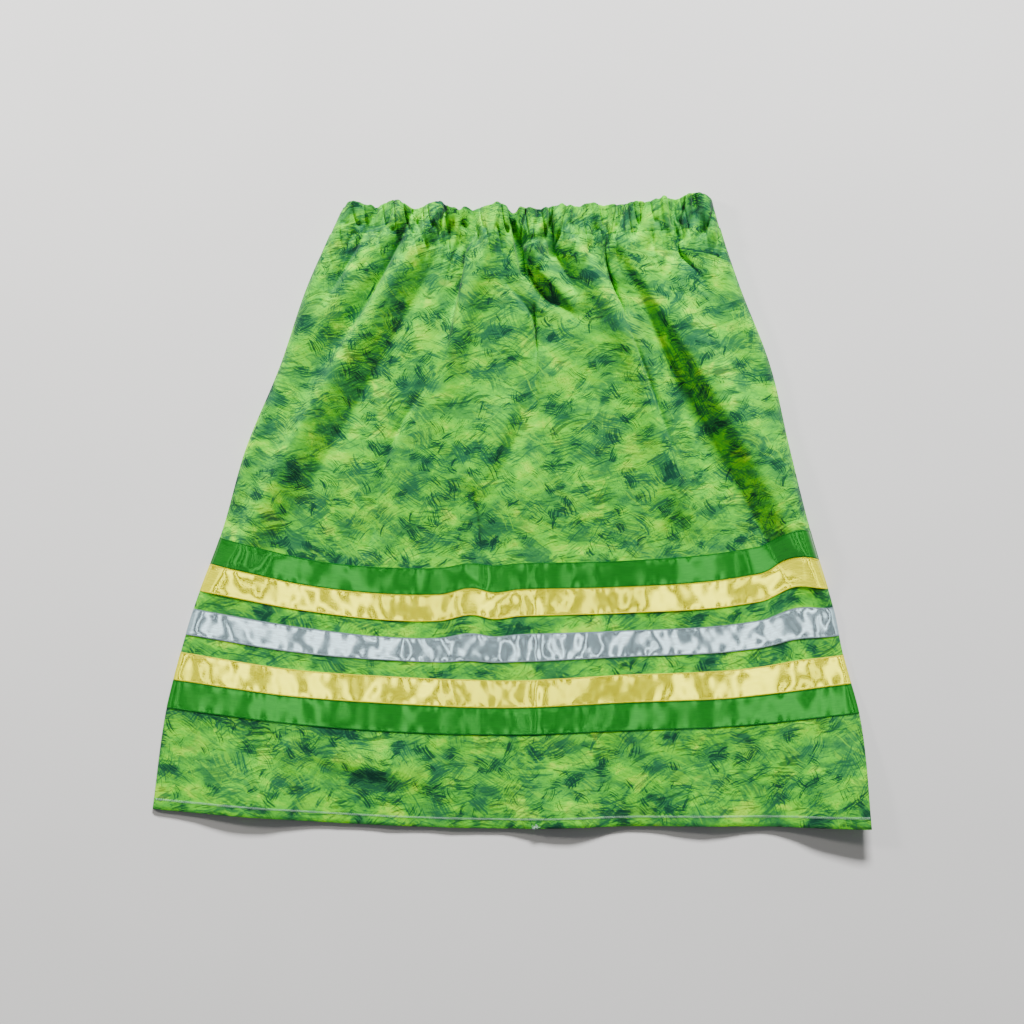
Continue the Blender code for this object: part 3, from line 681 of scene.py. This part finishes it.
def printed_cotton():
    """Cotton printed with loose brush strokes in greens."""
    n = Nodes("printed_cotton")
    cloth = n.node("ShaderNodeUVMap", {"uv_map": "cloth"}).outputs["UV"]
    warp = n.vector("MULTIPLY", n.noise(cloth, 30.0, 2.0)[1], (0.03, 0.012, 0.0))
    patches_at = n.vector("ADD", n.vector("MULTIPLY", cloth, (0.8, 1.15, 1.0)), warp)
    patches = n.noise(patches_at, 24.0, 5.0, 0.62)[0]
    sponge = n.noise(n.vector("MULTIPLY", cloth, (0.6, 1.0, 1.0)), 420.0, 3.0, 0.7)[0]
    tone = n.math("ADD", patches, n.math("MULTIPLY", n.math("SUBTRACT", sponge, 0.5), 0.14))
    color = n.ramp(tone, [
        (0.29, linear(44, 108, 60)),
        (0.36, linear(54, 132, 60)),
        (0.43, linear(66, 156, 54)),
        (0.50, linear(76, 180, 46)),
        (0.56, linear(88, 198, 36)),
        (0.62, linear(112, 216, 26)),
        (0.70, linear(158, 234, 20)),
    ])
    mid = linear(46, 116, 58)
    teal = linear(34, 92, 60)
    dark = linear(16, 58, 44)
    light = linear(112, 212, 20)
    for angle, seed, low, high, paint, share in (
            (0.30, 11, 0.58, 0.70, mid, 0.60),
            (-0.50, 12, 0.61, 0.71, teal, 0.75),
            (0.60, 13, 0.58, 0.72, light, 0.55),
            (-0.15, 14, 0.65, 0.74, dark, 0.70)):
        paint_here = dry_brush(n, cloth, angle, seed, low, high)
        color = n.mix(n.math("MULTIPLY", paint_here, share), color, paint)
    in_shade = n.math("MULTIPLY", n.math("SUBTRACT", tone, 0.50), 0.65)
    in_light = n.math("MULTIPLY", n.math("SUBTRACT", 0.53, tone), 0.9)
    for cell, bristle, seed, present, paint, share, thinner in (
            (0.060, 0.0028, 1, 0.50, mid, 0.70, in_shade),
            (0.050, 0.0022, 2, 0.46, teal, 0.75, in_shade),
            (0.044, 0.0020, 3, 0.40, light, 0.50, in_light),
            (0.038, 0.0017, 4, 0.46, teal, 0.90, in_shade),
            (0.028, 0.0014, 5, 0.44, dark, 0.90, in_shade),
            (0.020, 0.0012, 7, 0.44, dark, 0.92, in_shade)):
        paint_here = tufts(n, cloth, cell, bristle, seed, present, thinner)
        color = n.mix(n.math("MULTIPLY", paint_here, share), color, paint)
    specks = n.noise(cloth, 520.0, 1.0, 0.5)[0]
    where = n.noise(cloth, 24.0, 2.0, 0.6)[0]
    specks = n.math("MULTIPLY", n.step(specks, 0.64, 0.68), n.step(where, 0.50, 0.58))
    color = n.mix(n.math("MULTIPLY", specks, 0.7), color, teal)
    warp_threads = n.node("ShaderNodeTexWave", {"bands_direction": "X"}, Vector=cloth, Scale=330.0,
                          Distortion=0.6, Detail=1.0).outputs["Fac"]
    weft_threads = n.node("ShaderNodeTexWave", {"bands_direction": "Y"}, Vector=cloth, Scale=330.0,
                          Distortion=0.6, Detail=1.0).outputs["Fac"]
    weave = n.math("MULTIPLY", warp_threads, weft_threads)
    crinkle = n.noise(cloth, 70.0, 3.0, 0.55)[0]
    normal = n.bump(crinkle, 0.0022, 0.5)
    normal = n.bump(weave, 0.00012, 0.5, normal)
    n.shade(Base_Color=color, Normal=normal, Roughness=0.82, Specular_IOR_Level=0.18, Sheen_Weight=0.05,
            Sheen_Roughness=0.5)
    return n.material


def satin(name, color, metallic, roughness):
    """Satin ribbon: long glossy floats along the ribbon. Its shine has the dye's colour, but
    pales at grazing angles."""
    n = Nodes(name)
    cloth = n.node("ShaderNodeUVMap", {"uv_map": "cloth"}).outputs["UV"]
    streak = n.noise(n.vector("MULTIPLY", cloth, (60.0, 900.0, 0.0)), 1.0, 2.0)[0]
    deep = linear(*[0.90 * c for c in color])
    dyed = n.mix(n.step(streak, 0.3, 0.7), deep, linear(*color))
    floats = n.node("ShaderNodeTexWave", {"bands_direction": "Y"}, Vector=cloth, Scale=420.0,
                    Distortion=0.5, Detail=1.0).outputs["Fac"]
    n.shade(Base_Color=dyed, Normal=n.bump(floats, 0.00001, 0.3), Metallic=metallic, Roughness=roughness)
    return n.material


def thread(name, color):
    """Spun sewing thread."""
    n = Nodes(name)
    at = n.node("ShaderNodeTexCoord").outputs["Object"]
    ply = n.noise(at, 900.0, 2.0)[0]
    deep = linear(*[0.72 * c for c in color])
    spun = n.mix(n.step(ply, 0.3, 0.7), deep, linear(*color))
    n.shade(Base_Color=spun, Normal=n.bump(ply, 0.0002, 0.6), Roughness=0.6)
    return n.material


# ---------------------------------------------------------------- view and light

def make_camera():
    data = bpy.data.cameras.new("camera")
    data.sensor_width = 36.0
    data.lens = data.sensor_width * CAMERA_HEIGHT / FRAME_WIDTH
    camera = bpy.data.objects.new("camera", data)
    camera.location = (2.0 * MM, -1.0 * MM, CAMERA_HEIGHT * MM)
    bpy.context.scene.collection.objects.link(camera)
    bpy.context.scene.camera = camera


def make_light(name, at, size, power, color):
    """A rectangular light that faces the middle of the skirt."""
    data = bpy.data.lights.new(name, "AREA")
    data.shape = "RECTANGLE"
    data.size, data.size_y = size
    data.energy = power
    data.color = color
    lamp = bpy.data.objects.new(name, data)
    lamp.location = at
    direction = -np.array(at)
    flat = np.hypot(direction[0], direction[1])
    turn = np.arctan2(direction[1], direction[0]) - np.pi / 2
    lamp.rotation_euler = (np.arctan2(flat, -direction[2]), 0.0, turn)
    lamp.visible_camera = False
    lamp.visible_glossy = False
    bpy.context.scene.collection.objects.link(lamp)
    return lamp


def make_satin_lights(ribbons):
    """Windows and strip lights overhead and dimmer walls all round, for the ribbons to mirror. They
    light nothing else."""
    receivers = bpy.data.collections.new("satin_receivers")
    for ribbon in ribbons:
        receivers.objects.link(ribbon)
    lamps = []
    for x, width, glow in SATIN_LIGHTS:
        lamp = make_light("window", (x, SATIN_LIGHT_Y, SATIN_LIGHT_Z), (width, SATIN_LIGHT_LONG),
                          glow * np.pi * width * SATIN_LIGHT_LONG, (1.0, 1.0, 1.0))
        lamp.rotation_euler = (0.0, 0.0, 0.0)
        lamps.append(lamp)
    for degrees in range(0, 360, 45):
        turn = np.radians(degrees)
        at = (SATIN_WALL_FAR * np.sin(turn), SATIN_WALL_FAR * np.cos(turn), SATIN_WALL_Z)
        lamps.append(make_light("wall", at, SATIN_WALL_SIZE, SATIN_WALL_POWER, (1.0, 1.0, 1.0)))
    for lamp in lamps:
        lamp.visible_glossy = True
        lamp.light_linking.receiver_collection = receivers


def make_world():
    world_shader = bpy.data.worlds.new("soft_studio")
    world_shader.use_nodes = True
    background = world_shader.node_tree.nodes["Background"]
    background.inputs["Color"].default_value = (0.93, 0.96, 1.0, 1.0)
    background.inputs["Strength"].default_value = WORLD_STRENGTH
    bpy.context.scene.world = world_shader


def make_floor():
    bpy.ops.mesh.primitive_plane_add(size=40.0, location=(0.0, 0.0, -0.0005))
    floor = bpy.context.object
    floor.name = "floor"
    n = Nodes("pale_floor")
    at = n.node("ShaderNodeTexCoord").outputs["Object"]
    paint = n.mix(n.noise(at, 3.0, 3.0)[0], (0.76, 0.75, 0.73, 1.0), (0.82, 0.81, 0.79, 1.0))
    n.shade(Base_Color=paint, Roughness=0.9)
    floor.data.materials.append(n.material)


# ---------------------------------------------------------------- pieces

FRONT_COLUMNS = np.linspace(0.0, 1.0, 481)
BACK_COLUMNS = np.linspace(0.0, 1.0, 201)
CASING_COLUMNS = np.linspace(0.0, 1.0, 841)   # on half as many its small pleats cut each other more
CASING_ROWS = np.linspace(0.0, CASING_DEPTH, 20)
RIBBON_COLUMNS = np.linspace(0.0, 1.0, 561)
WRAP = np.linspace(90.0, -90.0, 6)[1:]   # turn of the cloth round a side seam, degrees
WRAP_OUT = 1.5                            # how far it stands out there, mm


def panel_cloth_rows(count):
    """Rows down the panel, closer together near the waist."""
    t = np.linspace(0.0, 1.0, count)
    return CASING_DEPTH + (HEM - CASING_DEPTH) * (0.62 * t + 0.38 * t**1.8)


def front_outer(across, cloth):
    """World points of the front's outer face."""
    x, down, z = front_surface(across, cloth)
    return world(x, down, z + bed(cloth)[:, None])


def back_outer(across, cloth):
    """World points of the back's outer face, which lies on the surface."""
    x, down, z = back_surface(across, cloth)
    return world(x, down, z - bed(cloth)[:, None] + 0.05)


def wrapped(front, cloth, raised=0.0):
    """The front's grid with more columns at both ends that turn round the side seams to the back."""
    ends = back_outer(np.array([0.0, 1.0]), cloth)
    columns = []
    for end, column, outward in ((0, 0, -1.0), (1, -1, 1.0)):
        top, low = front[:, column], ends[:, end] - np.array([0.0, 0.0, raised * MM])
        turned = []
        for degrees in WRAP:
            angle = np.radians(degrees)
            middle, half = (top + low) / 2, (top - low) / 2
            out = np.array([outward * (WRAP_OUT + raised) * MM * np.cos(angle), 0.0, 0.0])
            turned.append(middle + half * np.sin(angle) + out)
        columns.append(np.stack(turned, axis=1))
    return np.concatenate([columns[0][:, ::-1], front, columns[1]], axis=1)


def wrapped_inward():
    """Direction from the outer face to the inside for each column of a wrapped grid."""
    angles = np.radians(WRAP)
    right = np.stack([-np.cos(angles), np.zeros_like(angles), -np.sin(angles)], axis=1)
    left = (right * [-1.0, 1.0, 1.0])[::-1]
    middle = np.tile([0.0, 0.0, -1.0], (len(FRONT_COLUMNS), 1))
    return np.concatenate([left, middle, right])


def with_hem(points, cloth, inward):
    """The panel's rows, rolled over at the hem edge and turned up inside by the hem's depth. "inward"
    is the direction to the inside, for each column or for all."""
    radius = HEM_ROLL * MM
    edge = points[-1]
    rows, places = [points], [cloth]
    for share in (0.35, 0.7, 1.0):
        angle = share * np.pi
        row = edge + [0.0, -radius * np.sin(angle), 0.0] + inward * radius * (1 - np.cos(angle))
        rows.append(row[None])
        places.append([HEM + 2.0 * share])
    for place in (HEM - 4.0, HEM - HEM_TURN):
        k = np.clip(np.searchsorted(cloth, place), 1, len(cloth) - 1)
        part = (place - cloth[k - 1]) / (cloth[k] - cloth[k - 1])
        row = points[k - 1] * (1 - part) + points[k] * part
        rows.append((row + inward * 2 * radius)[None])
        places.append([2 * HEM - place + 2.0])
    return np.concatenate(rows), np.concatenate(places)


def place_piece(made, node):
    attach(made, "root")
    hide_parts(node)
    return made


def make_panels(cotton):
    cloth = panel_cloth_rows(192)
    front = front_outer(FRONT_COLUMNS, cloth)
    points, places = with_hem(wrapped(front, cloth), cloth, wrapped_inward())
    front_cloth = sheet_object("front_cloth", points, places, cotton)
    rows = panel_cloth_rows(150)
    points, places = with_hem(back_outer(BACK_COLUMNS, rows), rows, np.array([0.0, 0.0, 1.0]))
    back_cloth = sheet_object("back_cloth", points, places, cotton, flip=True)
    return (place_piece(front_cloth, "front_panel"),
            place_piece(back_cloth, "back_panel"))


def casing_rows(outer_rows, surface, across, outward):
    """The folded-over casing: outer layer from the stitch line to the waist edge, the fold, and the
    inner layer back down to the stitch line."""
    radius = CASING_WALL / 2
    x, down, z = surface(across, outer_rows)
    outer = world(x, down, z + outward * radius)[::-1]
    inner = world(x, down, z - outward * radius)
    x, down, z = x[0], down[0], z[0]
    fold = []
    for degrees in (25, 55, 90, 125, 155):
        angle = np.radians(degrees)
        fold.append(world(x, down - radius * np.sin(angle), z + outward * radius * np.cos(angle))[None])
    points = np.concatenate([outer, *fold, inner])
    fold_cloth = -np.linspace(0.5, 3.5, len(fold))
    places = np.concatenate([outer_rows[::-1], fold_cloth, -4.0 - outer_rows])
    return points, places


def make_casings(cotton):
    points, places = casing_rows(CASING_ROWS, front_surface, CASING_COLUMNS, 1)
    front = sheet_object("front_casing", points, places, cotton, flip=True)
    points, places = casing_rows(CASING_ROWS, back_surface, CASING_COLUMNS[::4], -1)
    back = sheet_object("back_casing", points, places, cotton)
    return (place_piece(front, "waist_casing_front"),
            place_piece(back, "waist_casing_back"))


def turned_noise(x, y, degrees, across, along, seed):
    """Smooth noise whose cells are "across" by "along" millimetres and turned by an angle."""
    c, t = np.cos(np.radians(degrees)), np.sin(np.radians(degrees))
    return noise((x * c + y * t) / across, (y * c - x * t) / along, seed)


def satin_ripple(x, down, wave, slope, seed):
    """Height of a ribbon over the cloth: soft puffs of a given width and slope between its seams."""
    drift = 14 * noise(x / 60, down / 45, seed + 1)
    broad = turned_noise(x + drift, down, 12, 1.9 * wave, 2.2 * wave, seed + 2)
    middle = turned_noise(x + drift, down, 38, wave, 1.3 * wave, seed)
    fine = turned_noise(x - drift, down, -34, 0.5 * wave, 0.8 * wave, seed + 3)
    return at_least_zero(1.0 + wave * slope * (1.2 * broad + 0.9 * middle + 0.25 * fine), 0.5)


def make_ribbon(ribbon, satin, seed, on_back):
    """One ribbon on the panel's own points, its two long edges stitched down."""
    inner = np.linspace(0.0, 1.0, 19)
    share = np.concatenate([[0.0], inner, [1.0]])
    rise = np.concatenate([[0.0], 0.25 + 0.75 * smooth(np.minimum(inner, 1 - inner) / 0.22), [0.0]])[:, None]
    cloth = ribbon["top"] + RIBBON_WIDTH * share
    if on_back:
        points = back_outer(BACK_COLUMNS, cloth)
        high = np.full(points.shape[:2], 0.8) * rise
        points[..., 2] -= high * MM
        made = sheet_object("back_satin_" + ribbon["name"], points, cloth, satin, flip=True)
        return place_piece(made, "back_ribbon_" + ribbon["name"])
    points = front_outer(RIBBON_COLUMNS, cloth)
    x, down = points[..., 0] / MM, WAIST_Y - points[..., 1] / MM
    points[..., 2] += (0.25 + satin_ripple(x, down, ribbon["wave"], ribbon["slope"], seed) * rise) * MM
    points[0, :, 2] -= 0.25 * MM
    points[-1, :, 2] -= 0.25 * MM
    made = sheet_object("front_satin_" + ribbon["name"], wrapped(points, cloth, 0.3), cloth, satin)
    return place_piece(made, "front_ribbon_" + ribbon["name"])


# Stitches, mm: way from one to the next, half width, the thread's radius, and height over the cloth
STITCHES = dict(
    overcast=dict(pitch=0.80, half=0.95, radius=0.32, raised=1.0),
    narrow=dict(pitch=1.30, half=0.70, radius=0.20, raised=1.0),
    zigzag=dict(pitch=1.35, half=1.30, radius=0.27, raised=1.0),
    hem=dict(pitch=1.30, half=1.45, radius=0.33, raised=0.3),
    casing=dict(pitch=3.0, radius=0.18, raised=0.2),
)
STITCH_INSET = 0.9       # from a ribbon's edge to the middle of its stitches
CASING_STITCH = CASING_DEPTH - 1.0
THREAD_END_RADIUS = 0.26


def row_width(place):
    """Rough width of the skirt at a place down the cloth, mm."""
    return 560.0 + 0.53 * place


def zigzag_path(outer, place, stitch, raised):
    """One row of zigzag stitches along a place down the cloth, on its outer face."""
    count = int(row_width(place) / stitch["pitch"])
    across = (np.arange(count) + 0.5) / count
    cloth = place + stitch["half"] * np.where(np.arange(count) % 2 == 0, 1.0, -1.0)
    points = outer(across, cloth)
    points[:, 2] += raised * MM
    return points


def straight_paths(outer, place, stitch, raised):
    """One row of straight stitches, each dipping into the cloth at its ends."""
    count = int(row_width(place) / stitch["pitch"])
    across = (np.arange(count) + 0.5) / count
    reach = np.array([-0.40, 0.0, 0.40]) / count
    ends = (across[:, None] + reach[None, :]).ravel()
    points = outer(ends, np.full(len(ends), place)).reshape(count, 3, 3)
    points[:, :, 2] += np.array([0.0, 1.0, 0.0]) * raised * MM
    return list(points)


def sew(name, paths, radius, thread):
    made = thread_object(name, paths, radius * MM, thread)
    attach(made, "root")
    return made


def make_thread_ends(outer, thread):
    """A tuft of loose thread ends where the hem's row of stitches was begun."""
    draw = np.random.default_rng(41)
    paths = []
    for _ in range(9):
        t = np.linspace(0.0, 1.0, 14)
        turn = draw.uniform(-1.2, 1.2) + draw.uniform(-2.4, 2.4) * t
        long = draw.uniform(4.0, 11.0)
        x = THREAD_ENDS_X + draw.uniform(-3, 3) + long * np.cumsum(np.sin(turn)) / len(t)
        cloth = HEM - 5.0 + draw.uniform(-2, 2) + np.clip(long * np.cumsum(np.cos(turn)) / len(t), -9, 4.4)
        left, right = LINES[-1]["left"], LINES[-1]["right"]
        path = outer((x - left) / (right - left), np.clip(cloth, 0, HEM))
        path[:, 2] += (0.5 + 1.6 * t * draw.uniform(0.3, 1.0)) * MM
        paths.append(path)
    sew("front_hem_thread_ends", paths, THREAD_END_RADIUS, thread)


def make_stitches(threads, side, outer_face, up):
    """All the sewing of one side: both edges of each ribbon, the hem and the casing."""
    rows = np.linspace(0.0, HEM, 600)
    across = np.linspace(0.0, 1.0, 401)
    grid = outer_face(across, rows)

    def outer(at_across, at_cloth):
        return sample(grid, across, rows, at_across, at_cloth)

    for ribbon in RIBBONS:
        stitch = STITCHES[ribbon["stitch"]]
        edges = (ribbon["top"] + STITCH_INSET, ribbon["top"] + RIBBON_WIDTH - STITCH_INSET)
        paths = [zigzag_path(outer, edge, stitch, up * stitch["raised"]) for edge in edges]
        sew(side + "_stitches_" + ribbon["name"], paths, stitch["radius"], threads[ribbon["thread"]])
    stitch = STITCHES["hem"]
    hem = [zigzag_path(outer, HEM - HEM_TURN, stitch, up * stitch["raised"])]
    sew(side + "_stitches_hem", hem, stitch["radius"], threads["thread_mint"])
    if up > 0:
        make_thread_ends(outer, threads["thread_mint"])
    stitch = STITCHES["casing"]
    casing = straight_paths(outer, CASING_STITCH, stitch, up * stitch["raised"])
    sew(side + "_stitches_casing", casing, stitch["radius"], threads["thread_leaf"])


def main():
    make_camera()
    make_world()
    make_floor()
    for light in LIGHTS:
        make_light(**light)
    cotton = printed_cotton()
    satins = {name: satin(name, **look) for name, look in SATINS.items()}
    threads = {name: thread(name, color) for name, color in THREADS.items()}
    front_cloth, back_cloth = make_panels(cotton)
    front_casing, back_casing = make_casings(cotton)
    for number, ribbon in enumerate(RIBBONS):
        for on_back in (False, True):
            made = make_ribbon(ribbon, satins[ribbon["satin"]], 21 + 10 * number, on_back)
    make_satin_lights([made for made in bpy.data.objects if "_satin_" in made.name])
    make_stitches(threads, "front", front_outer, 1)
    make_stitches(threads, "back", back_outer, -1)


main()
